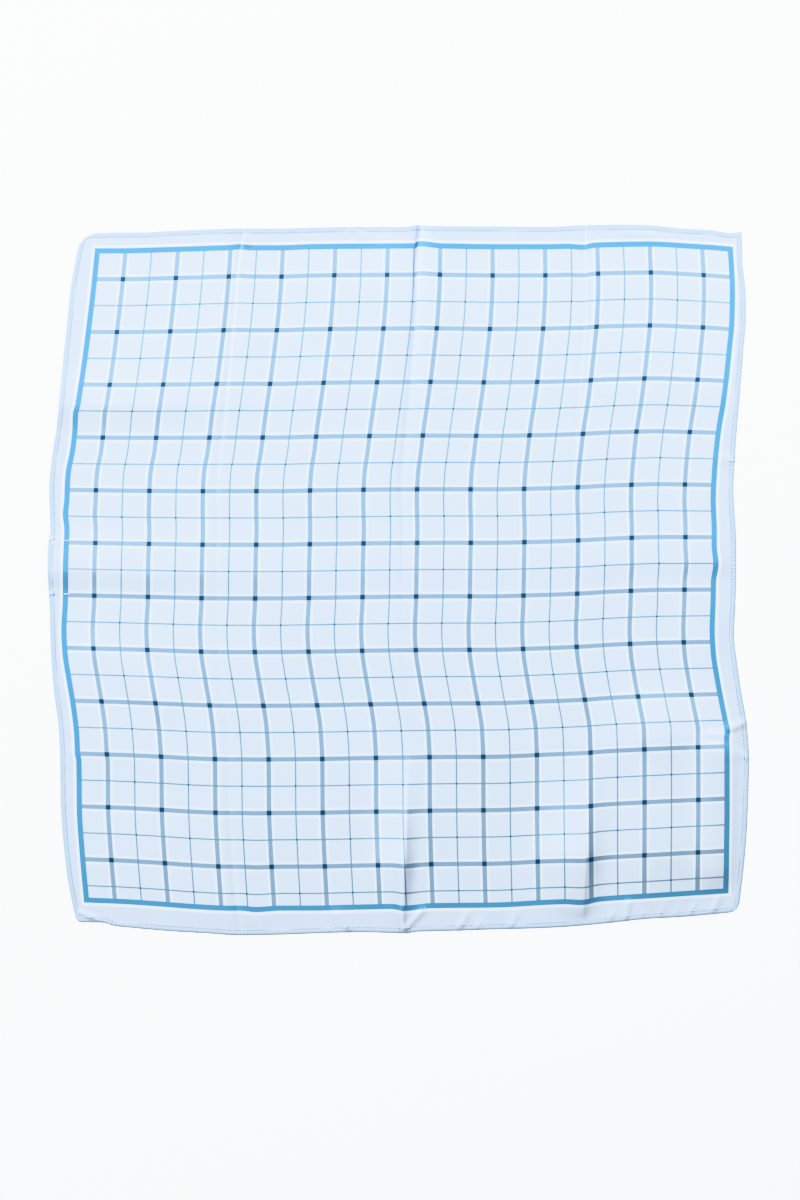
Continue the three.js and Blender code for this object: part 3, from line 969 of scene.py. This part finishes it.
tack_paths = []
for tack in TACKS:
    tack_across = np.array([tack["across"] - TACK_ROW / 2, tack["across"] + TACK_ROW / 2])
    tack_down = np.array([tack["down"], tack["down"]])
    cut_place = (tack_across * CLOTH_WIDTH / LAID_WIDTH, tack_down * CLOTH_DEPTH / LAID_DEPTH)
    tack_height = lift(*cut_place) + SATIN_THICKNESS + TACK_THREAD_RADIUS / 2
    tack_paths.append(to_world(tack_across, tack_down, tack_height))
tack_stitches = sew("tack_stitches", tack_paths, False, {
    "Pitch": TACK_PITCH * MM,
    "Stitch Length": TACK_LENGTH * MM,
    "Thread Radius": TACK_THREAD_RADIUS * MM,
    "Bow": 0.10 * MM,
    "Lean": math.radians(90),
    "Unevenness": math.radians(10),
    "Seed": 5,
    "Thread": bpy.data.materials["tack_thread"],
})
for stitches in (hem_stitches, tack_stitches):
    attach(stitches, "root")


# The floor: a plain pale matt surface on which the cloth lies, much larger than the view.
FLOOR_HALF = 12.0
floor_finish = Finish("pale_floor")
floor_finish.shader.inputs["Base Color"].default_value = linear(243, 243, 243)
floor_finish.shader.inputs["Roughness"].default_value = 0.9
floor_finish.shader.inputs["Specular IOR Level"].default_value = 0.1
floor_corners = np.array([(x, y, 0.0) for x, y in ((-1, -1), (1, -1), (1, 1), (-1, 1))]) * FLOOR_HALF
floor = new_piece("floor", floor_corners, [(0, 1, 2, 3)], ["pale_floor"])


# The light: a large soft lamp on the back left and a weak one on the back right, in an evenly lit pale
# room. Bright tones are rolled off gently, as a camera does.
LAMPS = [
    {"name": "main_lamp", "place": (-1.7, 1.95, 1.6), "aim": (0.5, -0.3, 0.0), "size": 1.35, "watts": 368},
    {"name": "fill_lamp", "place": (0.9, 0.9, 1.1), "aim": (0.0, 0.0, 0.0), "size": 0.7, "watts": 24},
]
ROOM_COLOUR = (0.90, 0.955, 1.0, 1.0)
ROOM_BRIGHTNESS = 0.41
for lamp_row in LAMPS:
    lamp_data = bpy.data.lights.new(lamp_row["name"], "AREA")
    lamp_data.shape = "SQUARE"
    lamp_data.size = lamp_row["size"]
    lamp_data.energy = lamp_row["watts"]
    lamp = bpy.data.objects.new(lamp_row["name"], lamp_data)
    bpy.context.scene.collection.objects.link(lamp)
    lamp.location = lamp_row["place"]
    aim = np.array(lamp_row["aim"]) - np.array(lamp_row["place"])
    lamp.rotation_euler = (
        math.atan2(math.hypot(aim[0], aim[1]), -aim[2]),
        0.0,
        math.atan2(aim[1], aim[0]) - math.pi / 2,
    )
room = bpy.data.worlds.new("pale_room")
room.use_nodes = True
room.node_tree.nodes["Background"].inputs["Color"].default_value = ROOM_COLOUR
room.node_tree.nodes["Background"].inputs["Strength"].default_value = ROOM_BRIGHTNESS
bpy.context.scene.world = room
bpy.context.scene.view_settings.view_transform = "Khronos PBR Neutral"


# The camera: straight above the cloth, which nearly fills the photograph's width. Its view is set by the
# photograph's size in pixels, the place of the cloth's middle in it, and the real size of one pixel.
FRAME_WIDTH_PX = 800
FRAME_HEIGHT_PX = 1200
CLOTH_CENTRE_PX = (398.65, 580.0)
METRES_PER_PX = 0.963 * MM
CAMERA_HEIGHT = 3.4
SENSOR_HEIGHT_MM = 36.0
camera_data = bpy.data.cameras.new("above")
camera_data.sensor_fit = "VERTICAL"
camera_data.sensor_height = SENSOR_HEIGHT_MM
camera_data.lens = SENSOR_HEIGHT_MM * CAMERA_HEIGHT / (FRAME_HEIGHT_PX * METRES_PER_PX)
camera = bpy.data.objects.new("above", camera_data)
bpy.context.scene.collection.objects.link(camera)
camera.location = (
    (FRAME_WIDTH_PX / 2 - CLOTH_CENTRE_PX[0]) * METRES_PER_PX,
    (CLOTH_CENTRE_PX[1] - FRAME_HEIGHT_PX / 2) * METRES_PER_PX,
    CAMERA_HEIGHT,
)
bpy.context.scene.camera = camera
